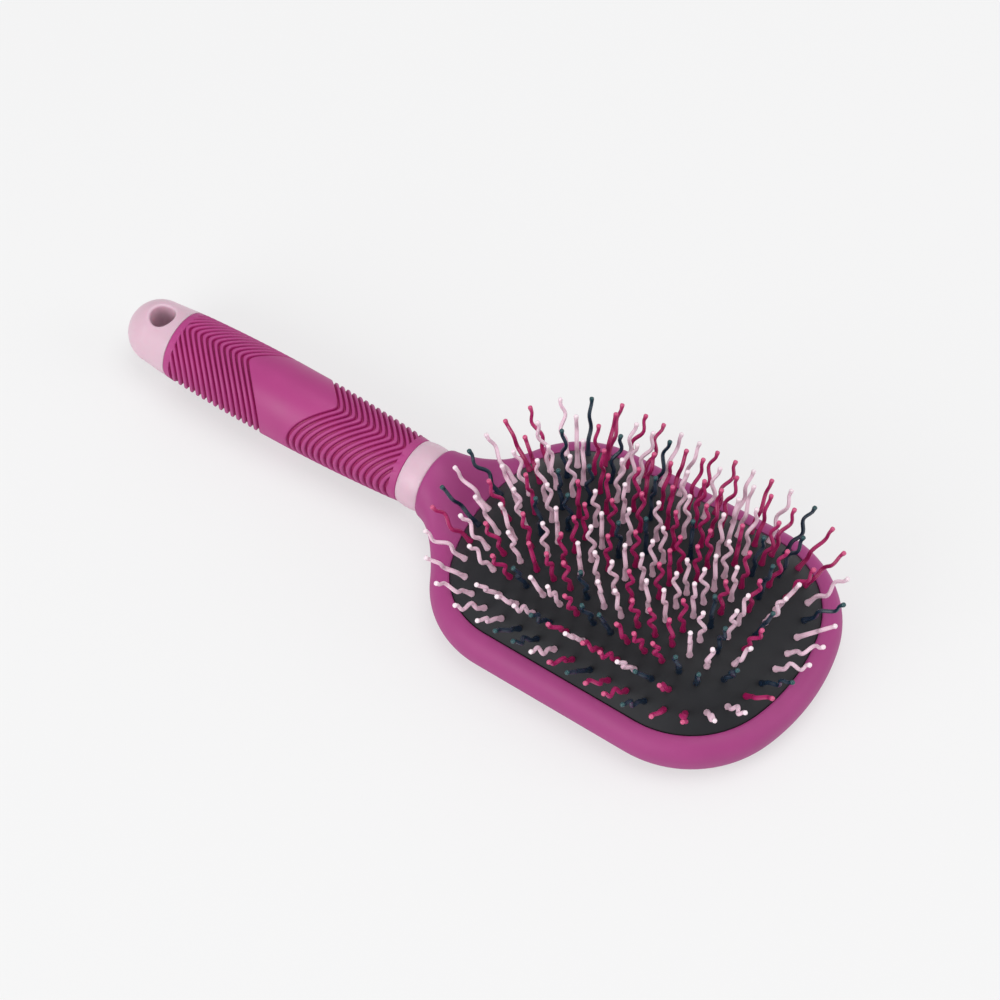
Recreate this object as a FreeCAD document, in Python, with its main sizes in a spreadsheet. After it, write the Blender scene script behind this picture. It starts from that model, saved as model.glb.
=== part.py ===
import math
import os

import FreeCAD
import Part
import Sketcher
from FreeCAD import Placement, Rotation, Vector

# Paddle hair brush, lying on its back with the pins up
# +X runs from the handle to the head, +Z is up, z = 0 is the surface that it lies on
# The origin is midway along the brush, on that surface

# Driving dimensions in millimetres, with the cell alias of each
SIZES = {
    # Whole brush
    "overall_length": 245.0,
    # Height of the handle's axis over the surface that the brush lies on
    "handle_axis_height": 12.4,
    # Outline of the opening that the cushion fills
    "pad_length": 108.7,
    "pad_width": 74.5,
    "pad_neck_width": 73.0,
    "pad_tip_radius": 59.8,
    "pad_neck_radius": 60.7,
    "pad_corner_radius": 28.4,
    "pad_neck_corner_radius": 24.4,
    # Head
    "rim_width": 6.1,
    "head_thickness": 14.2,
    "head_top_round": 5.4,
    "head_back_round": 7.2,
    "well_floor": 3.2,
    "lip_height": 2.6,
    "bead_groove_height": 2.6,
    "bead_reach": 1.6,
    "ledge_width": 2.4,
    "vent_radius": 1.5,
    # Neck, from the collar to the pad's opening, and how far its sections run on inside the head
    "neck_length": 17.1,
    "neck_overlap": 6.7,
    "neck_radius": 11.2,
    "neck_side_inset": 8.4,
    "neck_face_inset": 0.2,
    # Cushion
    "cushion_gap": 0.2,
    "cushion_wall": 1.6,
    "cushion_crown": 12.6,
    # Handle
    "cap_length": 19.2,
    "grip_length": 86.3,
    "collar_length": 7.6,
    "collar_radius": 10.15,
    "collar_crown": 0.35,
    "tang_radius": 7.0,
    "tang_bore_radius": 4.4,
    "tang_bore_depth": 20.0,
    "slip_clearance": 0.1,
    "grip_collar_radius": 10.15,
    "grip_middle_radius": 12.2,
    "grip_cap_radius": 11.05,
    # Chevron grooves of the grip
    "groove_pitch": 2.2,
    "groove_width": 0.95,
    "groove_depth": 0.75,
    "groove_free_band": 2.3,
    "panel_start": 25.3,
    "panel_length": 34.3,
    # End cap
    "cap_dome_radius": 10.2,
    "spigot_length": 16.0,
    "hang_hole_radius": 4.0,
    "hang_hole_from_end": 12.0,
    # Pins
    "pin_row_pitch": 5.45,
    "pin_column_pitch": 5.8,
    "pin_ring_inset": 4.6,
    "pin_ring_pitch": 6.15,
    "pin_inner_inset": 9.0,
    "pin_length": 18.0,
    "pin_root_radius": 1.05,
    "pin_hole_clearance": 0.15,
    "pin_flange_radius": 1.7,
    "pin_flange_height": 0.7,
    "pin_flange_gap": 0.45,
    "pin_strand_radius": 0.7,
    "pin_taper_length": 4.6,
    "pin_ball_radius": 0.85,
    "pin_wave_reach": 1.15,
    "pin_bend_radius": 2.2,
    # Reach of every cutting solid past the faces that it cuts
    "overrun": 2.0,
}

# Counts, angles and ratios
GROOVES_PER_GROUP = 16
GROOVE_SLOPE_SHARE = 1.0
PIN_TURN_DEGREES = 137.5
QUARTER_TURN_SHARE = math.sqrt(0.5)
UPRIGHT_SHARE = 0.5

# Corners of the grip's belly, from the collar to the cap
GRIP_BELLY_SHARES = (1.0, 0.75, 0.5, 0.25, 0.0)

# Neck sections from collar to head: place along the neck, growth in width, fall in height
NECK_SECTION_SHARES = (
    (0.00, 0.00, 0.00),
    (0.20, 0.13, 0.15),
    (0.42, 0.33, 0.50),
    (0.66, 0.63, 0.86),
    (1.00, 1.00, 1.00),
)

# Dome of the cushion: each contour line is the outline drawn in to this share of its width
DOME_WIDTH_SHARES = (1.0, 0.94, 0.87, 0.77, 0.64, 0.46, 0.26)
DOME_SIDE_POWER = 3.3
DOME_END_POWER = 5.5
DOME_SEARCH_STEPS = 40

# Centre line of a pin above its taper: sideways in shares of the wave's reach, up in shares of the rest
PIN_WAVE_SHARES = (
    (0.0, 0.0),
    (0.0, 0.06),
    (1.0, 0.27),
    (-1.0, 0.645),
    (0.0, 0.88),
    (0.0, 1.0),
)

# Pin colours, one letter a pin: P pale pink, C crimson, N navy
# The ring runs from the neck along the -Y side to the tip, and back along the +Y side
RING_COLOURS = "PNCPPPPPNNPCNCCNCCPPCNPPPNPCCNPCPCCPPCCCNPCCPNP"
# Inner rows from the -Y side to the +Y side, each from the neck to the tip
ROW_COLOURS = (
    "PPPNCPCCPNCPCC",
    "PCNPPCNNCCCNNPCC",
    "PCPCCCNPPCCCPPNC",
    "PPCPCPPPCPPCPNPC",
    "CPNPCPCPPCPPNPCC",
    "PCPNCPNCPCPPCPNC",
    "PPNCPCPNPCCPPCPC",
    "CPPNCPCPCNCPCNPC",
    "PNPCPCNCPCPCNCCC",
    "PCNPCCPCCPPCNPCC",
    "CPPNCCPCPCCNPCCP",
)
COLOUR_NAMES = {"P": "pale", "C": "crimson", "N": "navy"}

# Zones of pins that sink together, each with its highest root as a share of the cushion's crown
ZONE_HEIGHT_SHARES = {"rim": 0.48, "second": 0.72, "third": 0.88, "fourth": 0.95, "crown": 1.0}


# Document, spreadsheet and sizes

doc = FreeCAD.newDocument("paddle_brush")
sheet = doc.addObject("Spreadsheet::Sheet", "Sizes")
for row, (alias, value) in enumerate(SIZES.items(), start=1):
    sheet.set(f"A{row}", alias)
    sheet.set(f"B{row}", str(value))
    sheet.setAlias(f"B{row}", alias)
doc.recompute()


class Size:
    """A length: its number in millimetres and the sheet expression that gives it."""

    def __init__(self, number, text):
        self.number = number
        self.text = text

    def __add__(self, other):
        return Size(self.number + other.number, f"({self.text} + {other.text})")

    def __sub__(self, other):
        return Size(self.number - other.number, f"({self.text} - {other.text})")

    def __mul__(self, share):
        return Size(self.number * share, f"({self.text} * {share})")

    def __neg__(self):
        return Size(-self.number, f"(-{self.text})")


def size(alias):
    """Length held by one cell of the sheet."""
    return Size(float(sheet.get(alias)), f"Sizes.{alias}")


def mm(alias):
    """Number held by one cell of the sheet."""
    return size(alias).number


NOTHING = Size(0.0, "0")

# Places along the brush and heights that several pieces share

handle_length = size("cap_length") + size("grip_length") + size("collar_length")
head_tip_x = size("overall_length") * 0.5
cap_tip_x = -head_tip_x
grip_cap_x = cap_tip_x + size("cap_length")
neck_start_x = cap_tip_x + handle_length
pad_tip_x = head_tip_x - size("rim_width")
pad_neck_x = pad_tip_x - size("pad_length")
pad_middle_x = pad_neck_x + size("pad_length") * 0.5
hang_hole_x = cap_tip_x + size("hang_hole_from_end")
rim_z = size("head_thickness")
axis_z = size("handle_axis_height")
bead_top_z = rim_z - size("lip_height")
ledge_z = bead_top_z - size("bead_groove_height")
overrun = size("overrun")


# Outline of the pad

def outline(width_share=1.0, length_share=1.0, grow=0.0):
    """Circles and joining angles of the pad's outline, drawn in by two shares and then grown.

    Each circle is a centre and a radius. The corners given are those of the +Y side,
    which the -Y side mirrors.
    """
    tip_x = pad_middle_x.number + length_share * mm("pad_length") / 2 + grow
    neck_x = pad_middle_x.number - length_share * mm("pad_length") / 2 - grow
    tip_radius = width_share * mm("pad_tip_radius") + grow
    neck_radius = width_share * mm("pad_neck_radius") + grow
    tip_corner = width_share * mm("pad_corner_radius") + grow
    neck_corner = width_share * mm("pad_neck_corner_radius") + grow
    tip_y = width_share * mm("pad_width") / 2 + grow - tip_corner
    neck_y = width_share * mm("pad_neck_width") / 2 + grow - neck_corner
    tip_run = math.sqrt((tip_radius - tip_corner) ** 2 - tip_y ** 2)
    neck_run = math.sqrt((neck_radius - neck_corner) ** 2 - neck_y ** 2)
    tip_centre = Vector(tip_x - tip_radius, 0, 0)
    neck_centre = Vector(neck_x + neck_radius, 0, 0)
    tip_corner_centre = tip_centre + Vector(tip_run, tip_y, 0)
    neck_corner_centre = neck_centre + Vector(-neck_run, neck_y, 0)
    across = neck_corner_centre - tip_corner_centre
    turn = math.asin((tip_corner - neck_corner) / across.Length)
    return {
        "tip": (tip_centre, tip_radius),
        "tip_corner": (tip_corner_centre, tip_corner),
        "neck_corner": (neck_corner_centre, neck_corner),
        "neck": (neck_centre, neck_radius),
        "tip_angle": math.atan2(tip_y, tip_run),
        "side_angle": math.atan2(across.y, across.x) - math.pi / 2 + turn,
        "neck_angle": math.pi - math.atan2(neck_y, neck_run),
    }


def on_circle(circle, angle):
    """Point of a circle at an angle."""
    centre, radius = circle
    return centre + Vector(radius * math.cos(angle), radius * math.sin(angle), 0)


def outline_curves(shape):
    """The eight curves of an outline, counter-clockwise from the tip."""
    def arc(circle, start, end):
        return Part.ArcOfCircle(Part.Circle(circle[0], Vector(0, 0, 1), circle[1]), start, end)

    def mirrored(point):
        return Vector(point.x, -point.y, 0)

    tip_angle, side_angle, neck_angle = shape["tip_angle"], shape["side_angle"], shape["neck_angle"]
    tip_corner, neck_corner = shape["tip_corner"], shape["neck_corner"]
    side_tip = on_circle(tip_corner, side_angle)
    side_neck = on_circle(neck_corner, side_angle)
    return [
        arc(shape["tip"], -tip_angle, tip_angle),
        arc(tip_corner, tip_angle, side_angle),
        Part.LineSegment(side_tip, side_neck),
        arc(neck_corner, side_angle, neck_angle),
        arc(shape["neck"], neck_angle, 2 * math.pi - neck_angle),
        arc((mirrored(neck_corner[0]), neck_corner[1]), -neck_angle, -side_angle),
        Part.LineSegment(mirrored(side_neck), mirrored(side_tip)),
        arc((mirrored(tip_corner[0]), tip_corner[1]), -side_angle, -tip_angle),
    ]


def outline_wire(z, shape):
    """Closed wire of an outline at a height."""
    wire = Part.Wire([curve.toShape() for curve in outline_curves(shape)])
    wire.translate(Vector(0, 0, z))
    return wire


def half_width(x, shape):
    """Half width of an outline at x, negative where x lies past its ends."""
    side_tip = on_circle(shape["tip_corner"], shape["side_angle"])
    side_neck = on_circle(shape["neck_corner"], shape["side_angle"])
    if side_neck.x <= x <= side_tip.x:
        along = (x - side_neck.x) / (side_tip.x - side_neck.x)
        return side_neck.y + along * (side_tip.y - side_neck.y)
    if x > on_circle(shape["tip"], shape["tip_angle"]).x:
        centre, radius = shape["tip"]
    elif x > side_tip.x:
        centre, radius = shape["tip_corner"]
    elif x < on_circle(shape["neck"], shape["neck_angle"]).x:
        centre, radius = shape["neck"]
    else:
        centre, radius = shape["neck_corner"]
    reach = radius ** 2 - (x - centre.x) ** 2
    return centre.y + math.sqrt(reach) if reach > 0 else -radius


def add_sizes(sketch, constraints):
    """Add sizes to a sketch, each bound to the sheet: name to (kind, places, length)."""
    for name, (kind, places, length) in constraints.items():
        index = sketch.addConstraint(Sketcher.Constraint(kind, *places, length.number))
        sketch.renameConstraint(index, name)
        sketch.setExpression(f"Constraints.{name}", length.text)


START, END, CENTRE = 1, 2, 3
X_AXIS, Y_AXIS = -1, -2
ORIGIN = (-1, 1)
TIP, TIP_CORNER, NECK_CORNER, NECK, NECK_CORNER_MIRROR, TIP_CORNER_MIRROR = 0, 1, 3, 4, 5, 7

pad_sketch = doc.addObject("Sketcher::SketchObject", "pad_outline")
pad_curves = outline_curves(outline())
pad_sketch.addGeometry(pad_curves, False)
for curve in range(len(pad_curves)):
    follower = (curve + 1) % len(pad_curves)
    pad_sketch.addConstraint(Sketcher.Constraint("Tangent", curve, END, follower, START))
for end_arc in (TIP, NECK):
    pad_sketch.addConstraint(Sketcher.Constraint("PointOnObject", end_arc, CENTRE, X_AXIS))
for corner, mirror in ((TIP_CORNER, TIP_CORNER_MIRROR), (NECK_CORNER, NECK_CORNER_MIRROR)):
    pad_sketch.addConstraint(Sketcher.Constraint("Equal", corner, mirror))
    pad_sketch.addConstraint(Sketcher.Constraint("Vertical", corner, CENTRE, mirror, CENTRE))
add_sizes(pad_sketch, {
    "tip_radius": ("Radius", (TIP,), size("pad_tip_radius")),
    "neck_radius": ("Radius", (NECK,), size("pad_neck_radius")),
    "corner": ("Radius", (TIP_CORNER,), size("pad_corner_radius")),
    "neck_corner": ("Radius", (NECK_CORNER,), size("pad_neck_corner_radius")),
    "tip_place": ("DistanceX", (*ORIGIN, TIP, CENTRE), pad_tip_x - size("pad_tip_radius")),
    "neck_place": ("DistanceX", (*ORIGIN, NECK, CENTRE), pad_neck_x + size("pad_neck_radius")),
    "corner_place": (
        "DistanceY", (*ORIGIN, TIP_CORNER, CENTRE), size("pad_width") * 0.5 - size("pad_corner_radius")),
    "neck_corner_place": (
        "DistanceY", (*ORIGIN, NECK_CORNER, CENTRE),
        size("pad_neck_width") * 0.5 - size("pad_neck_corner_radius")),
})
doc.recompute()


# Ways of making the pieces

def bind(feature, **lengths):
    """Bind properties of an object to lengths of the sheet."""
    for name, length in lengths.items():
        feature.setExpression(name, length.text)


def place(feature, x=NOTHING, z=NOTHING):
    """Bind the place of an object on the brush's middle plane."""
    feature.setExpression(".Placement.Base.x", x.text)
    feature.setExpression(".Placement.Base.z", z.text)


def outline_block(name, bottom, top, grow=None):
    """Upright block on the pad's outline, or on that outline grown by a length."""
    base = pad_sketch
    if grow:
        base = doc.addObject("Part::Offset2D", f"{name}_outline")
        base.Source = pad_sketch
        bind(base, Value=grow)
    block = doc.addObject("Part::Extrusion", name)
    block.Base = base
    block.DirMode = "Custom"
    block.Dir = Vector(0, 0, 1)
    block.Solid = True
    bind(block, LengthFwd=top - bottom)
    place(block, z=bottom)
    return block


def cylinder(name, radius, length, x, z, along_x=False):
    """Cylinder on the brush's middle plane, upright or along the handle."""
    solid = doc.addObject("Part::Cylinder", name)
    bind(solid, Radius=radius, Height=length)
    if along_x:
        solid.Placement = Placement(Vector(0, 0, 0), Rotation(Vector(0, 0, 1), Vector(1, 0, 0)))
    place(solid, x, z)
    return solid


def fuse(name, shapes):
    """Union of several objects."""
    union = doc.addObject("Part::MultiFuse", name)
    union.Shapes = shapes
    return union


def cut(name, base, tool):
    """One object less another."""
    difference = doc.addObject("Part::Cut", name)
    difference.Base = base
    difference.Tool = tool
    return difference


def held(name, shape):
    """Object that holds a shape worked out in code."""
    feature = doc.addObject("Part::Feature", name)
    feature.Shape = shape
    return feature


def turned_body(name, corners, bulges):
    """Body turned about the handle's axis from a closed profile.

    corners are (distance from the cap's tip, radius); bulges gives, for the side that starts
    at a corner, the point that its arc passes through.
    """
    body = doc.addObject("PartDesign::Body", name)
    place(body, cap_tip_x, axis_z)
    sketch = body.newObject("Sketcher::SketchObject", f"{name}_profile")
    plane = next(plane for plane in body.Origin.OriginFeatures if plane.Role == "XZ_Plane")
    sketch.AttachmentSupport = [(plane, "")]
    sketch.MapMode = "FlatFace"

    def point(corner):
        return Vector(corner[0].number, corner[1].number, 0)

    def pin_down(label, geometry, position, corner):
        for kind, axis, length in (("DistanceX", Y_AXIS, corner[0]), ("DistanceY", X_AXIS, corner[1])):
            if length is NOTHING:
                sketch.addConstraint(Sketcher.Constraint("PointOnObject", geometry, position, axis))
            else:
                add_sizes(sketch, {f"{label}_{kind}": (kind, (*ORIGIN, geometry, position), length)})

    for index, corner in enumerate(corners):
        following = corners[(index + 1) % len(corners)]
        if index in bulges:
            curve = Part.Arc(point(corner), point(bulges[index]), point(following))
        else:
            curve = Part.LineSegment(point(corner), point(following))
        sketch.addGeometry(curve, False)
    # An arc always runs counter-clockwise, so its start is the corner that lies that way
    starts = []
    for index, corner in enumerate(corners):
        from_start = sketch.getPoint(index, START).distanceToPoint(point(corner))
        from_end = sketch.getPoint(index, END).distanceToPoint(point(corner))
        starts.append(START if from_start < from_end else END)
    for index, corner in enumerate(corners):
        following = (index + 1) % len(corners)
        last = END if starts[index] == START else START
        sketch.addConstraint(Sketcher.Constraint("Coincident", index, last, following, starts[following]))
        pin_down(f"corner_{index}", index, starts[index], corner)
    for index, middle in bulges.items():
        mark = sketch.addGeometry(Part.Point(point(middle)), True)
        pin_down(f"bulge_{index}", mark, START, middle)
        sketch.addConstraint(Sketcher.Constraint("PointOnObject", mark, START, index))
    doc.recompute()
    turn = body.newObject("PartDesign::Revolution", f"{name}_turn")
    turn.Profile = sketch
    turn.ReferenceAxis = (sketch, ["H_Axis"])
    turn.Angle = 360
    body.Tip = turn
    return body


# Paddle: head, neck and tang in one moulding

head_block = outline_block("head_block", NOTHING, rim_z, size("rim_width"))
doc.recompute()
head_rounds = []
for number, edge in enumerate(head_block.Shape.Edges, start=1):
    if abs(edge.tangentAt(edge.FirstParameter).z) > UPRIGHT_SHARE:
        continue
    radius = mm("head_top_round") if edge.BoundBox.ZMin > rim_z.number / 2 else mm("head_back_round")
    head_rounds.append((number, radius, radius))
head = doc.addObject("Part::Fillet", "head")
head.Base = head_block
head.Edges = head_rounds

neck_run = size("neck_length") + size("neck_overlap")
neck_end_width = size("pad_neck_width") + size("rim_width") * 2 - size("neck_side_inset") * 2
neck_end_height = size("head_thickness") - size("neck_face_inset") * 2
neck_sections = []
for number, (along, growth, fall) in enumerate(NECK_SECTION_SHARES):
    section = doc.addObject("Part::Ellipse", f"neck_section_{number}")
    bind(
        section,
        MajorRadius=size("neck_radius") * (1 - growth) + neck_end_width * (growth / 2),
        MinorRadius=size("neck_radius") * (1 - fall) + neck_end_height * (fall / 2),
    )
    section.Placement = Placement(
        Vector(0, 0, 0), Rotation(Vector(0, 1, 0), Vector(0, 0, 1), Vector(1, 0, 0), "XYZ"))
    place(section, neck_start_x + neck_run * along, axis_z * (1 - fall) + rim_z * (fall / 2))
    neck_sections.append(section)
neck = doc.addObject("Part::Loft", "neck")
neck.Sections = neck_sections
neck.Solid = True

tang_end_x = grip_cap_x
tang = cylinder(
    "tang", size("tang_radius"), neck_start_x + overrun - tang_end_x, tang_end_x, axis_z, along_x=True)
moulding = fuse("paddle_moulding", [head, neck, tang])

paddle_cuts = fuse("paddle_cuts", [
    outline_block("pad_opening", bead_top_z, rim_z + overrun),
    outline_block("bead_groove", ledge_z, bead_top_z, size("bead_reach")),
    outline_block("air_chamber", size("well_floor"), ledge_z, -size("ledge_width")),
    cylinder("vent", size("vent_radius"), size("well_floor") + overrun * 2, pad_middle_x, -overrun),
    cylinder(
        "tang_bore", size("tang_bore_radius"), size("tang_bore_depth") + overrun,
        tang_end_x - overrun, axis_z, along_x=True),
])
paddle = cut("paddle_body", moulding, paddle_cuts)


# Collar, grip sleeve and end cap on the tang, measured from the cap's tip

sleeve_bore = size("tang_radius") + size("slip_clearance")
cap_end = size("cap_length")
grip_end = cap_end + size("grip_length")
collar_end = grip_end + size("collar_length")

collar = turned_body("collar", [
    (grip_end, sleeve_bore),
    (collar_end, sleeve_bore),
    (collar_end, size("collar_radius")),
    (grip_end, size("collar_radius")),
], {2: (grip_end + size("collar_length") * 0.5, size("collar_radius") + size("collar_crown"))})


def grip_belly(margin):
    """Corners of the grip's belly from the collar to the cap, grown by a margin.

    The radius runs from one end's to the other's, and swells between them along a parabola.
    """
    ends = (size("grip_cap_radius") + size("grip_collar_radius")) * 0.5
    swell = size("grip_middle_radius") - ends
    corners = []
    for share in GRIP_BELLY_SHARES:
        radius = size("grip_cap_radius") * (1 - share) + size("grip_collar_radius") * share
        rise = 4 * share * (1 - share)
        corners.append((cap_end + size("grip_length") * share, radius + swell * rise + margin))
    return corners


grip_core = turned_body("grip_core", [
    (cap_end, sleeve_bore),
    (grip_end, sleeve_bore),
    *grip_belly(NOTHING),
], {})
grip_floor = turned_body("grip_floor", [
    (cap_end, NOTHING),
    (grip_end, NOTHING),
    *grip_belly(-size("groove_depth")),
], {})


def chevron(apex, sweep):
    """Upright V prism whose arms leave the apex towards the head (sweep 1) or the cap (sweep -1)."""
    side = mm("grip_middle_radius") + overrun.number
    arm = sweep * GROOVE_SLOPE_SHARE * side
    near, far = apex, apex + sweep * mm("groove_width")
    plan = [
        Vector(near, 0, 0),
        Vector(near + arm, side, 0),
        Vector(far + arm, side, 0),
        Vector(far, 0, 0),
        Vector(far + arm, -side, 0),
        Vector(near + arm, -side, 0),
    ]
    plan = [point + Vector(cap_tip_x.number, 0, axis_z.number - side) for point in plan]
    return Part.Face(Part.makePolygon(plan + plan[:1])).extrude(Vector(0, 0, 2 * side))


def grip_grooves():
    """Two groups of chevron grooves that leave a panel between them, pointed at both ends."""
    band = mm("groove_free_band")
    side = mm("grip_middle_radius") + overrun.number
    grooved = Part.makeBox(
        mm("grip_length") - 2 * band, 2 * side, 2 * side,
        Vector(grip_cap_x.number + band, -side, axis_z.number - side))
    panel_start = cap_end.number + mm("panel_start")
    panel_end = panel_start + mm("panel_length")
    grooves = []
    for number in range(GROOVES_PER_GROUP):
        step = number * mm("groove_pitch")
        for prism in (chevron(panel_start - step, 1), chevron(panel_end + step, -1)):
            grooves.append(prism.common(grooved).cut(grip_floor.Shape))
    return Part.makeCompound(grooves)


doc.recompute()
grip = cut("grip_sleeve", grip_core, held("grip_grooves", grip_grooves()))

dome = size("cap_dome_radius")
spigot_radius = size("tang_bore_radius") - size("slip_clearance")
cap_turning = turned_body("cap_turning", [
    (NOTHING, NOTHING),
    (cap_end + size("spigot_length"), NOTHING),
    (cap_end + size("spigot_length"), spigot_radius),
    (cap_end, spigot_radius),
    (cap_end, size("grip_cap_radius")),
    (dome, dome),
], {5: (dome * (1 - QUARTER_TURN_SHARE), dome * QUARTER_TURN_SHARE)})
hang_hole = cylinder(
    "hang_hole", size("hang_hole_radius"), (size("grip_cap_radius") + overrun) * 2,
    hang_hole_x, axis_z - size("grip_cap_radius") - overrun)
end_cap = cut("end_cap", cap_turning, hang_hole)


# Cushion: domed membrane with a skirt and a bead under the rim

def dome_outline(width_share, inward):
    """Contour line of the dome that is drawn in to a share of its width."""
    return outline(width_share, width_share ** (DOME_SIDE_POWER / DOME_END_POWER), -inward)


def dome_height(width_share, crown):
    """Height of a contour line over the rim."""
    return crown * (1 - width_share ** DOME_SIDE_POWER)


def dome_solid(inward, crown):
    """Solid under a dome, lofted through its contour lines."""
    wires = [
        outline_wire(rim_z.number + dome_height(share, crown), dome_outline(share, inward * share))
        for share in DOME_WIDTH_SHARES
    ]
    return Part.makeLoft(wires, True, False)


def outline_prism(bottom, top, grow):
    """Solid block on the grown outline between two heights."""
    face = Part.Face(outline_wire(bottom, outline(grow=grow)))
    return face.extrude(Vector(0, 0, top - bottom))


def root_height(x, y):
    """Height of the dome's outer skin over the rim at a place."""
    low, high = DOME_WIDTH_SHARES[-1], DOME_WIDTH_SHARES[0]
    for _ in range(DOME_SEARCH_STEPS):
        middle = (low + high) / 2
        if half_width(x, dome_outline(middle, mm("cushion_gap") * middle)) >= abs(y):
            high = middle
        else:
            low = middle
    return dome_height(high, mm("cushion_crown"))


def root_normal(x, y):
    """Outward direction of the dome's skin at a place."""
    step = mm("pin_root_radius")
    slope_x = (root_height(x + step, y) - root_height(x - step, y)) / (2 * step)
    slope_y = (root_height(x, y + step) - root_height(x, y - step)) / (2 * step)
    return Vector(-slope_x, -slope_y, 1).normalize()


# Places, directions and colours of the pins

def ring_places():
    """Evenly spaced places along the rim, from the neck along -Y to the tip and back along +Y."""
    wire = outline_wire(0, outline(grow=-mm("pin_ring_inset")))
    count = round(wire.Length / mm("pin_ring_pitch"))
    points = wire.discretize(Number=count + 1)[:-1]
    return sorted(points, key=lambda point: math.atan2(point.y, point.x - pad_middle_x.number))


def row_places(row):
    """Places of one straight row, from the neck to the tip."""
    inner = outline(grow=-mm("pin_inner_inset"))
    y = row * mm("pin_row_pitch")
    pitch = mm("pin_column_pitch")
    columns = math.ceil(mm("pad_length") / pitch)
    places = []
    for column in range(columns):
        x = pad_middle_x.number + (column - (columns - 1) / 2) * pitch
        if half_width(x, inner) >= abs(y):
            places.append(Vector(x, y, 0))
    return places


def pin_places():
    """Root, direction and colour letter of every pin."""
    marks = [(point, RING_COLOURS[index % len(RING_COLOURS)]) for index, point in enumerate(ring_places())]
    middle_row = len(ROW_COLOURS) // 2
    for number, letters in enumerate(ROW_COLOURS):
        for index, point in enumerate(row_places(number - middle_row)):
            marks.append((point, letters[index % len(letters)]))
    pins = []
    for point, letter in marks:
        height = root_height(point.x, point.y)
        root = Vector(point.x, point.y, rim_z.number + height)
        pins.append((root, root_normal(point.x, point.y), letter, height))
    return pins


pins = pin_places()


def upright_cylinder(radius, bottom, top):
    """Cylinder about the local Z axis between two heights."""
    return Part.makeCylinder(radius, top - bottom, Vector(0, 0, bottom))


def rounded_path(points, radius):
    """Wire of straight runs joined by tangent arcs."""
    edges = []
    start = points[0]
    for before, corner, after in zip(points, points[1:], points[2:]):
        arriving = (corner - before).normalize()
        leaving = (after - corner).normalize()
        turn = arriving.getAngle(leaving)
        setback = radius * math.tan(turn / 2)
        bisector = (leaving - arriving).normalize()
        arc_start = corner - arriving * setback
        arc_end = corner + leaving * setback
        middle = corner + bisector * (radius / math.cos(turn / 2) - radius)
        edges.append(Part.LineSegment(start, arc_start).toShape())
        edges.append(Part.Arc(arc_start, middle, arc_end).toShape())
        start = arc_end
    edges.append(Part.LineSegment(start, points[-1]).toShape())
    return Part.Wire(edges)


def pin_shape():
    """One pin about the local Z axis, with z = 0 on the cushion's skin.

    A flange lies under the membrane, a root passes through it and tapers to a strand,
    which waves from side to side and ends in a ball.
    """
    flange_top = -mm("cushion_wall") - mm("pin_flange_gap")
    taper_end = mm("pin_taper_length")
    ball_centre = mm("pin_length") - mm("pin_ball_radius")
    rest = ball_centre - taper_end
    flange = upright_cylinder(mm("pin_flange_radius"), flange_top - mm("pin_flange_height"), flange_top)
    root = upright_cylinder(mm("pin_root_radius"), flange_top, 0)
    taper = Part.makeCone(mm("pin_root_radius"), mm("pin_strand_radius"), taper_end)
    points = [
        Vector(sideways * mm("pin_wave_reach"), 0, taper_end + up * rest) for sideways, up in PIN_WAVE_SHARES
    ]
    circle = Part.Wire(Part.makeCircle(mm("pin_strand_radius"), points[0], Vector(0, 0, 1)))
    strand = rounded_path(points, mm("pin_bend_radius")).makePipeShell([circle], True, False)
    ball = Part.makeSphere(mm("pin_ball_radius"), points[-1])
    return flange.multiFuse([root, taper, strand, ball]).removeSplitter()


def pin_placement(number, root, direction):
    """Placement of one pin: square to the skin, each turned about itself by one more step."""
    stand = Rotation(Vector(0, 0, 1), direction)
    spin = Rotation(Vector(0, 0, 1), number * PIN_TURN_DEGREES)
    return Placement(root, stand.multiply(spin))


def cushion_shape():
    """Membrane, skirt and bead in one rubber moulding, with a hole for each pin."""
    gap, wall = mm("cushion_gap"), mm("cushion_wall")
    bead_top = bead_top_z.number - gap
    outside = dome_solid(gap, mm("cushion_crown")).multiFuse([
        outline_prism(ledge_z.number, rim_z.number, -gap),
        outline_prism(ledge_z.number, bead_top, mm("bead_reach") - gap),
    ])
    inside = dome_solid(gap + wall, mm("cushion_crown") - wall).fuse(
        outline_prism(ledge_z.number - overrun.number, rim_z.number, -gap - wall))
    hole = upright_cylinder(
        mm("pin_root_radius") + mm("pin_hole_clearance"), -mm("cushion_wall") - overrun.number, overrun.number)
    holes = []
    for number, (root, direction, _, _) in enumerate(pins):
        drill = hole.copy()
        drill.Placement = pin_placement(number, root, direction)
        holes.append(drill)
    return outside.cut(inside).cut(holes)


cushion = held("cushion", cushion_shape())


# Pins in groups, by zone and colour

def zone_of(height):
    """Name of the zone that a root's height falls in."""
    for zone, share in ZONE_HEIGHT_SHARES.items():
        if height <= share * mm("cushion_crown"):
            return zone


one_pin = pin_shape()
groups = {}
zone_heights = {zone: [] for zone in ZONE_HEIGHT_SHARES}
for number, (root, direction, letter, height) in enumerate(pins):
    pin = one_pin.copy()
    pin.Placement = pin_placement(number, root, direction)
    zone = zone_of(height)
    zone_heights[zone].append(height)
    groups.setdefault(f"pins_{zone}_{COLOUR_NAMES[letter]}", []).append(pin)
pin_nodes = [held(name, Part.makeCompound(solids)) for name, solids in sorted(groups.items())]


# Check every object, then write each piece

doc.recompute()
pieces = [paddle, cushion, collar, grip, end_cap, *pin_nodes]
for feature in doc.Objects:
    if "Invalid" in feature.State or "Error" in feature.State:
        raise RuntimeError(f"{feature.Label} failed to recompute")
for piece in pieces:
    if piece.Shape.isNull() or not piece.Shape.isValid():
        raise RuntimeError(f"{piece.Label} has no valid shape")

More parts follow.
